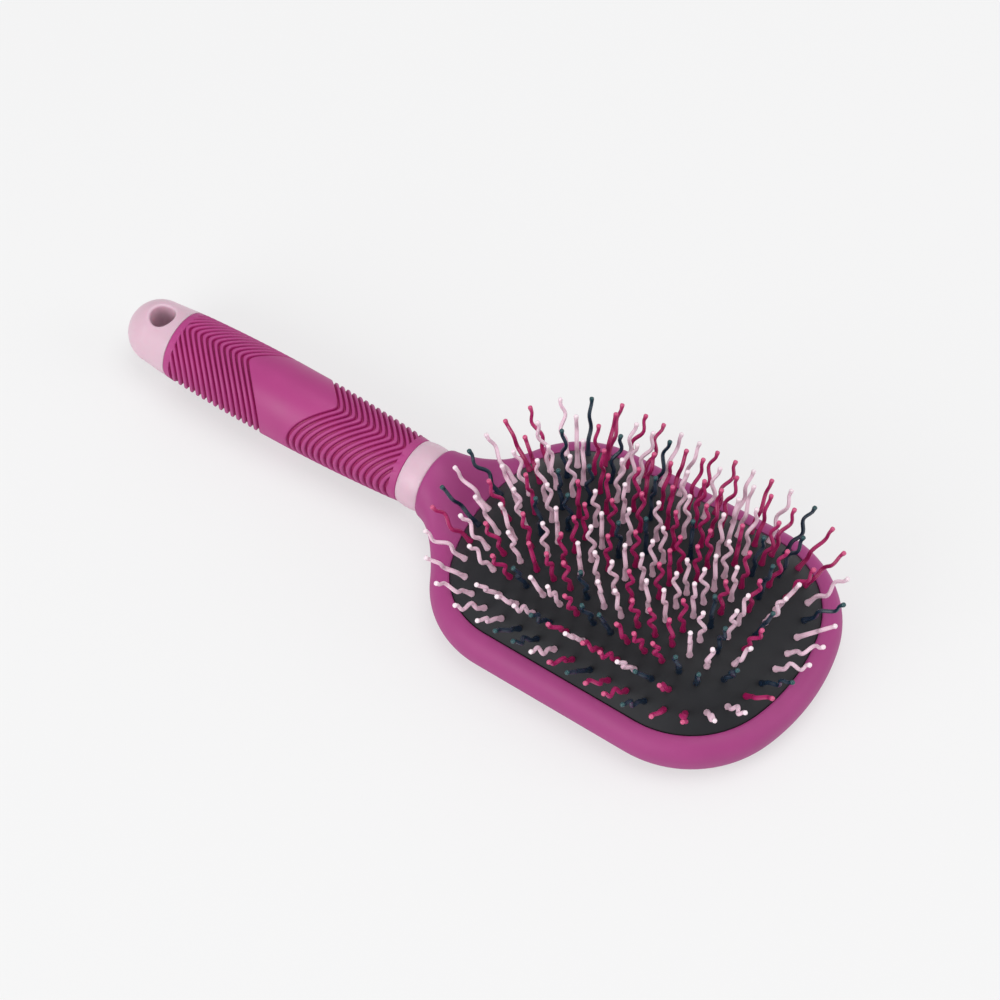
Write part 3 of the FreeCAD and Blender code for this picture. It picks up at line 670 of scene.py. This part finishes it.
# Rows from the -Y side to the +Y side, each from the neck to the tip
ROW_COLOURS = (
    "PPPNCPCCPNCPCC",
    "PCNPPCNNCCCNNPCC",
    "PCPCCCNPPCCCPPNC",
    "PPCPCPPPCPPCPNPC",
    "CPNPCPCPPCPPNPCC",
    "PCPNCPNCPCPPCPNC",
    "PPNCPCPNPCCPPCPC",
    "CPPNCPCPCNCPCNPC",
    "PNPCPCNCPCPCNCCC",
    "PCNPCCPCCPPCNPCC",
    "CPPNCCPCPCCNPCCP",
)
COLOUR_NAMES = {"P": "pale", "C": "crimson", "N": "navy"}
# Points on the curves of an outline that places are read from
TABLE_COUNTS = (200, 200, 60, 200, 200)
RING_COUNTS = (300, 300, 80, 300, 300)
CONTOUR_SHARES = np.linspace(0.26, 1.0, 260)
# Highest root of each zone as a share of the crown
ZONE_SHARES = {"rim": 0.48, "second": 0.72, "third": 0.88, "fourth": 0.95, "crown": 1.0}


def half_width(pad, x, **drawn):
    """Half width of an outline at places along the brush, negative past its ends."""
    across, y, _ = outline(pad, counts=TABLE_COUNTS, **drawn)
    half = across.shape[1] // 2 + 1
    across, y = across[:, :half], y[:, :half]
    return np.array([
        np.where((x < a.min()) | (x > a.max()), -1.0, np.interp(x, a[::-1], b[::-1]))
        for a, b in zip(across, y)
    ])


def root_heights(pad, cushion, x, y):
    """Heights of the dome over the rim at places, from a table of contour lines."""
    width = CONTOUR_SHARES
    widths = half_width(
        pad, x, width=width, length_share=width ** (cushion.side_power / cushion.end_power),
        grow=-cushion.gap * width)
    found = np.empty_like(x)
    for index, side in enumerate(np.abs(y)):
        column = np.maximum.accumulate(widths[:, index])
        found[index] = np.interp(side, column, width)
    return cushion.crown * (1.0 - found ** cushion.side_power)


def pin_places(pad, cushion, pins):
    """Roots, directions, heights and colour letters of all pins.

    An outer ring is spaced evenly along the outline drawn in by its inset. Straight rows fill
    the rest. Each pin stands square to the dome, whose slope is taken over its own foot.
    """
    x, y, _ = (value[0] for value in outline(pad, grow=-pins.ring_inset, counts=RING_COUNTS))
    start = len(x) - RING_COUNTS[0]
    x, y = np.roll(x, -start), np.roll(y, -start)
    x, y = np.append(x, x[0]), np.append(y, y[0])
    run = np.hypot(np.diff(x), np.diff(y)).sum()
    count = round(run / pins.ring_pitch)
    ring_x, ring_y = along_curve(x, y, np.arange(count) / count)
    order = np.argsort(np.arctan2(ring_y, ring_x - pad.middle), kind="stable")
    marks_x, marks_y = [ring_x[order]], [ring_y[order]]
    letters = [RING_COLOURS[index % len(RING_COLOURS)] for index in range(count)]
    columns = math.ceil(pad.length / pins.column_pitch)
    row_x = pad.middle + (np.arange(columns) - (columns - 1) / 2) * pins.column_pitch
    room = half_width(pad, row_x, grow=-pins.inner_inset)[0]
    for number, row in enumerate(ROW_COLOURS):
        row_y = (number - len(ROW_COLOURS) // 2) * pins.row_pitch
        held = row_x[room >= abs(row_y)]
        marks_x.append(held)
        marks_y.append(np.full_like(held, row_y))
        letters += [row[index % len(row)] for index in range(len(held))]
    x, y = np.concatenate(marks_x), np.concatenate(marks_y)
    height = root_heights(pad, cushion, x, y)
    step = PIN_FOOT
    slope_x = root_heights(pad, cushion, x + step, y) - root_heights(pad, cushion, x - step, y)
    slope_y = root_heights(pad, cushion, x, y + step) - root_heights(pad, cushion, x, y - step)
    direction = np.stack((-slope_x / (2 * step), -slope_y / (2 * step), np.ones_like(x)), axis=-1)
    direction /= np.linalg.norm(direction, axis=1, keepdims=True)
    return np.stack((x, y, pad.rim_height + height), axis=-1), direction, height, letters


def pin_rings(pins):
    """One pin about the local Z axis: rings square to a line that waves in the local XZ plane.

    The line's offset is the reach times a sine of the height, faded in and out at its ends.
    """
    rings = np.array(PIN_RINGS)
    z, radius = rings[:, 0], RING_SWELL * rings[:, 1]

    def offset(z):
        fade = smooth_step((z - WAVE_FOOT) / WAVE_FOOT_FADE) * smooth_step((WAVE_TIP - z) / WAVE_TIP_FADE)
        wave = np.sin(2 * math.pi * (z - pins.wave_start) / pins.wave_length)
        return WAVE_SWELL * pins.wave_reach * wave * fade

    step = 1e-5
    lean = np.arctan((offset(z + step) - offset(z - step)) / (2 * step))
    turn = full_turn(pins.sides)[None, :]
    out = radius[:, None] * np.cos(turn)
    return np.stack(np.broadcast_arrays(
        offset(z)[:, None] + out * np.cos(lean)[:, None],
        radius[:, None] * np.sin(turn),
        z[:, None] - out * np.sin(lean)[:, None]), axis=-1), z / PIN_LENGTH


def stand_frames(direction, spin):
    """Rotation matrices that spin about the Z axis and then stand it along directions.

    The stand is the shortest turn from the Z axis to the direction.
    """
    z = np.array((0.0, 0.0, 1.0))
    axis = np.cross(np.broadcast_to(z, direction.shape), direction)
    cosine = direction[:, 2]
    cross = np.zeros((len(direction), 3, 3))
    cross[:, 0, 1], cross[:, 0, 2] = -axis[:, 2], axis[:, 1]
    cross[:, 1, 0], cross[:, 1, 2] = axis[:, 2], -axis[:, 0]
    cross[:, 2, 0], cross[:, 2, 1] = -axis[:, 1], axis[:, 0]
    stand = np.eye(3) + cross + cross @ cross / (1.0 + cosine)[:, None, None]
    turn = np.zeros_like(stand)
    turn[:, 0, 0], turn[:, 0, 1] = np.cos(spin), -np.sin(spin)
    turn[:, 1, 0], turn[:, 1, 1] = np.sin(spin), np.cos(spin)
    turn[:, 2, 2] = 1.0
    return stand @ turn


# Materials

def node(tree, kind, **settings):
    """New shader node with its settings."""
    made = tree.nodes.new(kind)
    for name, value in settings.items():
        setattr(made, name, value)
    return made


def noise(tree, place, scale, detail):
    """Noise over a coordinate."""
    made = node(tree, "ShaderNodeTexNoise")
    made.inputs["Scale"].default_value = scale
    made.inputs["Detail"].default_value = detail
    tree.links.new(place, made.inputs["Vector"])
    return made.outputs["Fac"]


def ramp(tree, factor, stops):
    """Colour ramp over a factor."""
    made = node(tree, "ShaderNodeValToRGB")
    elements = made.color_ramp.elements
    elements[0].position, elements[0].color = stops[0][0], (*stops[0][1], 1.0)
    elements[1].position, elements[1].color = stops[-1][0], (*stops[-1][1], 1.0)
    for position, value in stops[1:-1]:
        elements.new(position).color = (*value, 1.0)
    tree.links.new(factor, made.inputs["Fac"])
    return made.outputs["Color"]


def spread(tree, factor, low, high):
    """Factor from 0.3 to 0.7 spread over a range."""
    made = node(tree, "ShaderNodeMapRange")
    for name, value in (("From Min", 0.3), ("From Max", 0.7), ("To Min", low), ("To Max", high)):
        made.inputs[name].default_value = value
    tree.links.new(factor, made.inputs["Value"])
    return made.outputs["Result"]


def mixed(tree, factor, first, second):
    """Mix of two colours by a factor."""
    made = node(tree, "ShaderNodeMix", data_type="RGBA")
    tree.links.new(factor, made.inputs[0])
    tree.links.new(first, made.inputs[6])
    tree.links.new(second, made.inputs[7])
    return made.outputs[2]


def shaded(value, amount):
    """Colour scaled by an amount."""
    return tuple(min(1.0, part * amount) for part in value)


def attribute(tree, name):
    """Value of a mesh attribute."""
    return node(tree, "ShaderNodeAttribute", attribute_name=name).outputs["Fac"]


def new_finish(name, roughness, grain, sockets):
    """Material with its shader, an Object coordinate, fine grain and uneven gloss.

    roughness is a range; grain is the scale, height and strength of the bump.
    """
    material = bpy.data.materials.new(name)
    material.use_nodes = True
    tree = material.node_tree
    shader = tree.nodes["Principled BSDF"]
    for socket, value in sockets.items():
        shader.inputs[socket].default_value = value
    place = node(tree, "ShaderNodeTexCoord").outputs["Object"]
    fine = noise(tree, place, grain[0], 3.0)
    bump = node(tree, "ShaderNodeBump")
    bump.inputs["Distance"].default_value = grain[1]
    bump.inputs["Strength"].default_value = grain[2]
    tree.links.new(fine, bump.inputs["Height"])
    tree.links.new(bump.outputs["Normal"], shader.inputs["Normal"])
    patchy = noise(tree, place, grain[0] / 40, 4.0)
    tree.links.new(spread(tree, patchy, *roughness), shader.inputs["Roughness"])
    return material, tree, shader, patchy


def paddle_finish(finishes):
    """Soft-touch coat: matt, faintly mottled, with a soft sheen at grazing angles."""
    material, tree, shader, patchy = new_finish(
        "paddle_soft_touch", (0.46, 0.58), (2600.0, 0.00003, 0.25), {
            "Sheen Weight": 0.10,
            "Sheen Roughness": 0.45,
            "Sheen Tint": (*finishes.paddle_sheen, 1.0),
            "Specular IOR Level": 0.32,
        })
    base = tuple(finishes.paddle)
    mottle = ramp(tree, patchy, ((0.3, shaded(base, 0.96)), (0.7, shaded(base, 1.04))))
    tree.links.new(mottle, shader.inputs["Base Color"])
    return material


def grip_finish(finishes):
    """Moulded rubber: ribs with a satin rub, and painted shade in the grooves that deepens towards their
    floors.
    """
    material, tree, shader, patchy = new_finish(
        "grip_rubber", (0.40, 0.55), (2200.0, 0.00004, 0.3), {
            "Sheen Weight": 0.05,
            "Sheen Roughness": 0.4,
            "Sheen Tint": (*finishes.paddle_sheen, 1.0),
            "Specular IOR Level": 0.44,
        })
    rib, groove = tuple(finishes.rib), tuple(finishes.groove)
    tops = ramp(tree, patchy, ((0.3, shaded(rib, 0.95)), (0.7, shaded(rib, 1.05))))
    groove_shade = ramp(tree, patchy, ((0.3, shaded(groove, 0.9)), (0.7, shaded(groove, 1.1))))
    # Painted shade: the groove attribute mixes the painted groove shade in, fully on the grooves' floors.
    tree.links.new(mixed(tree, attribute(tree, "groove"), tops, groove_shade), shader.inputs["Base Color"])
    return material


def trim_finish(finishes):
    """Satin moulded plastic with a little depth."""
    material, tree, shader, patchy = new_finish(
        "trim_satin", (0.30, 0.42), (1500.0, 0.00002, 0.2), {
            "Subsurface Weight": 0.40,
            "Subsurface Radius": (0.005, 0.0026, 0.0036),
            "Subsurface Scale": 1.0,
            "Specular IOR Level": 0.5,
        })
    base = tuple(finishes.trim)
    mottle = ramp(tree, patchy, ((0.3, shaded(base, 0.98)), (0.7, shaded(base, 1.02))))
    tree.links.new(mottle, shader.inputs["Base Color"])
    return material


def rubber_finish(finishes):
    """Matt black-grey membrane with a fine grain."""
    material, tree, shader, patchy = new_finish(
        "cushion_rubber", (0.50, 0.66), (1800.0, 0.00005, 0.4), {
            "Specular IOR Level": 0.28,
            "Sheen Weight": 0.05,
            "Sheen Roughness": 0.5,
        })
    base = tuple(finishes.rubber)
    mottle = ramp(tree, patchy, ((0.3, shaded(base, 0.88)), (0.7, shaded(base, 1.12))))
    tree.links.new(mottle, shader.inputs["Base Color"])
    return material


def pin_finish(finishes, name):
    """Satin nylon in its own colour, with painted shade darkening the foot and painted light brightening the
    ball.
    """
    material, tree, shader, _ = new_finish(
        f"{name}_nylon", (0.22, 0.36), (1400.0, 0.00002, 0.15), {
            "Subsurface Weight": 0.15,
            "Subsurface Radius": (0.001, 0.0006, 0.0008),
            "Subsurface Scale": 1.0,
            "Specular IOR Level": 0.5,
        })
    root = tuple(getattr(finishes, f"{name}_root"))
    tip = tuple(getattr(finishes, f"{name}_tip"))
    strand = tuple(getattr(finishes, f"{name}_strand"))
    # Root stop: painted shade at the foot; tip stop: painted highlight on the ball, a painted teal glint on
    # navy pins; strand stops: the nylon's own colour.
    stops = ((0.0, root), (0.55, strand), (0.9, strand), (0.97, tip))
    tree.links.new(ramp(tree, attribute(tree, "along"), stops), shader.inputs["Base Color"])
    return material


# Operators

class BRUSH_OT_paddle(bpy.types.Operator):
    """Build the paddle's head, neck and well"""

    bl_idname = "brush.paddle"
    bl_label = "Paddle"

    def execute(self, context):
        brush = context.scene.brush
        points = paddle_points(brush.pad, brush.paddle)
        piece = add_piece(
            "paddle_shell", points, grid_faces(*points.shape[:2], True, True), BODY,
            paddle_finish(brush.finishes))
        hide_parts("paddle_body")
        return {"FINISHED"}


class BRUSH_OT_cushion(bpy.types.Operator):
    """Build the domed air cushion"""

    bl_idname = "brush.cushion"
    bl_label = "Cushion"

    def execute(self, context):
        brush = context.scene.brush
        points = cushion_points(brush.pad, brush.cushion)
        piece = add_piece(
            "cushion_membrane", points, grid_faces(*points.shape[:2], False, True), BODY,
            rubber_finish(brush.finishes))
        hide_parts("cushion")
        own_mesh(piece)
        return {"FINISHED"}


class BRUSH_OT_collar(bpy.types.Operator):
    """Build the collar between the grip and the neck"""

    bl_idname = "brush.collar"
    bl_label = "Collar"

    def execute(self, context):
        brush = context.scene.brush
        points = collar_points(brush.handle, brush.paddle)
        piece = add_piece(
            "collar_ring", points, grid_faces(*points.shape[:2], True, True), BODY,
            trim_finish(brush.finishes))
        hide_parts("collar")
        return {"FINISHED"}


class BRUSH_OT_grip(bpy.types.Operator):
    """Build the ribbed grip"""

    bl_idname = "brush.grip"
    bl_label = "Grip"

    def execute(self, context):
        brush = context.scene.brush
        points, groove = grip_points(brush.handle, brush.paddle)
        piece = add_piece(
            "grip_ribs", points, grid_faces(*points.shape[:2], True, True), BODY,
            grip_finish(brush.finishes), {"groove": groove}, sharp=60.0)
        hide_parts("grip_sleeve")
        return {"FINISHED"}


class BRUSH_OT_cap(bpy.types.Operator):
    """Build the end cap with its hanging hole"""

    bl_idname = "brush.cap"
    bl_label = "End cap"

    def execute(self, context):
        brush = context.scene.brush
        points = cap_points(brush.handle, brush.paddle)
        piece = add_piece(
            "cap_dome", points, grid_faces(*points.shape[:2], True, True), BODY,
            bpy.data.materials["trim_satin"])
        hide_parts("end_cap")
        return {"FINISHED"}


class BRUSH_OT_pins(bpy.types.Operator):
    """Build the pins, one piece for each zone and colour"""

    bl_idname = "brush.pins"
    bl_label = "Pins"

    def execute(self, context):
        brush = context.scene.brush
        roots, direction, height, letters = pin_places(brush.pad, brush.cushion, brush.pins)
        rings, along = pin_rings(brush.pins)
        spin = np.radians(np.arange(len(roots)) * brush.pins.turn)
        frames = stand_frames(direction, spin)
        zones = np.searchsorted(np.array(list(ZONE_SHARES.values())) * brush.cushion.crown, height - 1e-9)
        faces = grid_faces(*rings.shape[:2], False, True)
        nylon = {name: pin_finish(brush.finishes, name) for name in COLOUR_NAMES.values()}
        for zone_number, zone in enumerate(ZONE_SHARES):
            for letter, name in COLOUR_NAMES.items():
                chosen = np.flatnonzero((zones == zone_number) & (np.array(letters) == letter))
                label = f"pins_{zone}_{name}"
                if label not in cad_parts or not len(chosen):
                    raise RuntimeError(f"{label} has no CAD node or no pins")
                points = np.einsum("nij,abj->nabi", frames[chosen], rings) + roots[chosen][:, None, None, :]
                shift = np.arange(len(chosen))[:, None, None] * rings[..., 0].size
                # The along share masks the painted shade at the foot and the painted highlight on the ball.
                ring_along = np.tile(np.repeat(along, rings.shape[1]), len(chosen))
                piece = add_piece(
                    f"pin_set_{zone}_{name}", points, (faces[None] + shift).reshape(-1, 4), f"pins_{zone}",
                    nylon[name], {"along": ring_along}, sharp=80.0)
                smooth(piece)
                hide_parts(label)
        return {"FINISHED"}


CAMERA_PLACE = (0.38270, -0.48582, 0.89832)
CAMERA_TURN = (37.16, 55.17, -3.18)
CAMERA_LENS = 131.082
CAMERA_SENSOR = 36.0
CAMERA_CLIP = (0.01, 50.0)
FLOOR_REACH = 6.0
# Share of the even backdrop in what the camera sees of the floor, which keeps the shadow faint
BACKDROP_SHARE = 0.6
SKY_STRENGTH = 0.52
# Name, place, diameter and power of each lamp
LAMPS = (
    ("softbox_front", (-0.45, -1.65, 0.85), 1.5, 18.0),
    ("softbox_top", (0.3, 0.3, 1.9), 1.5, 13.5),
    ("softbox_side", (1.5, 0.6, 0.8), 1.2, 6.0),
)


class BRUSH_OT_stage(bpy.types.Operator):
    """Build the floor, the lights and the camera"""

    bl_idname = "brush.stage"
    bl_label = "Stage"

    def execute(self, context):
        scene = context.scene
        finishes = scene.brush.finishes
        mesh = bpy.data.meshes.new("floor")
        side = FLOOR_REACH
        corners = [(-side, -side, 0.0), (side, -side, 0.0), (side, side, 0.0), (-side, side, 0.0)]
        mesh.from_pydata(corners, [], [(0, 1, 2, 3)])
        floor = bpy.data.objects.new("floor", mesh)
        scene.collection.objects.link(floor)
        paper = bpy.data.materials.new("floor_paper")
        paper.use_nodes = True
        shader = paper.node_tree.nodes["Principled BSDF"]
        shader.inputs["Base Color"].default_value = (*finishes.floor, 1.0)
        shader.inputs["Roughness"].default_value = 1.0
        shader.inputs["Specular IOR Level"].default_value = 0.0
        tree = paper.node_tree
        backdrop = node(tree, "ShaderNodeEmission")
        backdrop.inputs["Color"].default_value = (*finishes.backdrop, 1.0)
        seen = node(tree, "ShaderNodeMath", operation="MULTIPLY")
        seen.inputs[1].default_value = BACKDROP_SHARE
        tree.links.new(node(tree, "ShaderNodeLightPath").outputs["Is Camera Ray"], seen.inputs[0])
        blend = node(tree, "ShaderNodeMixShader")
        tree.links.new(seen.outputs[0], blend.inputs[0])
        tree.links.new(shader.outputs[0], blend.inputs[1])
        tree.links.new(backdrop.outputs[0], blend.inputs[2])
        tree.links.new(blend.outputs[0], tree.nodes["Material Output"].inputs["Surface"])
        mesh.materials.append(paper)

        world = bpy.data.worlds.new("studio")
        world.use_nodes = True
        sky = world.node_tree.nodes["Background"]
        sky.inputs["Color"].default_value = (1.0, 1.0, 1.0, 1.0)
        sky.inputs["Strength"].default_value = SKY_STRENGTH
        scene.world = world
        for name, place, size, power in LAMPS:
            lamp = bpy.data.lights.new(name, "AREA")
            lamp.shape = "DISK"
            lamp.size = size
            lamp.energy = power
            light = bpy.data.objects.new(name, lamp)
            light.location = place
            light.rotation_euler = (-light.location).to_track_quat("-Z", "Y").to_euler()
            scene.collection.objects.link(light)

        lens = bpy.data.cameras.new("camera")
        lens.lens = CAMERA_LENS
        lens.sensor_width = CAMERA_SENSOR
        lens.clip_start, lens.clip_end = CAMERA_CLIP
        camera = bpy.data.objects.new("camera", lens)
        azimuth, elevation, roll = (math.radians(value) for value in CAMERA_TURN)
        turn = (
            Matrix.Rotation(azimuth, 4, "Z")
            @ Matrix.Rotation(math.pi / 2 - elevation, 4, "X")
            @ Matrix.Rotation(roll, 4, "Z")
        )
        camera.matrix_world = Matrix.Translation(CAMERA_PLACE) @ turn
        scene.collection.objects.link(camera)
        scene.camera = camera
        scene.view_settings.view_transform = "Standard"
        return {"FINISHED"}


OPERATORS = (
    BRUSH_OT_paddle,
    BRUSH_OT_cushion,
    BRUSH_OT_collar,
    BRUSH_OT_grip,
    BRUSH_OT_cap,
    BRUSH_OT_pins,
    BRUSH_OT_stage,
)


class VIEW3D_PT_brush(bpy.types.Panel):
    """Panel that lists the brush's operators"""

    bl_label = "Paddle brush"
    bl_idname = "VIEW3D_PT_brush"
    bl_space_type = "VIEW_3D"
    bl_region_type = "UI"
    bl_category = "Brush"

    def draw(self, context):
        for operator in OPERATORS:
            self.layout.operator(operator.bl_idname)


GROUPS = (PadSizes, PaddleSizes, CushionSizes, HandleSizes, PinSizes, Finishes, BrushSettings)
CLASSES = (*GROUPS, *OPERATORS, VIEW3D_PT_brush)


def register():
    """Register the add-on's classes and its settings."""
    for kind in CLASSES:
        bpy.utils.register_class(kind)
    bpy.types.Scene.brush = PointerProperty(type=BrushSettings)


def unregister():
    """Take the settings and classes out again."""
    del bpy.types.Scene.brush
    for kind in reversed(CLASSES):
        bpy.utils.unregister_class(kind)


def main():
    """Build all pieces and the stage."""
    register()
    for operator in OPERATORS:
        group, name = operator.bl_idname.split(".")
        getattr(getattr(bpy.ops, group), name)()


if __name__ == "__main__":
    main()
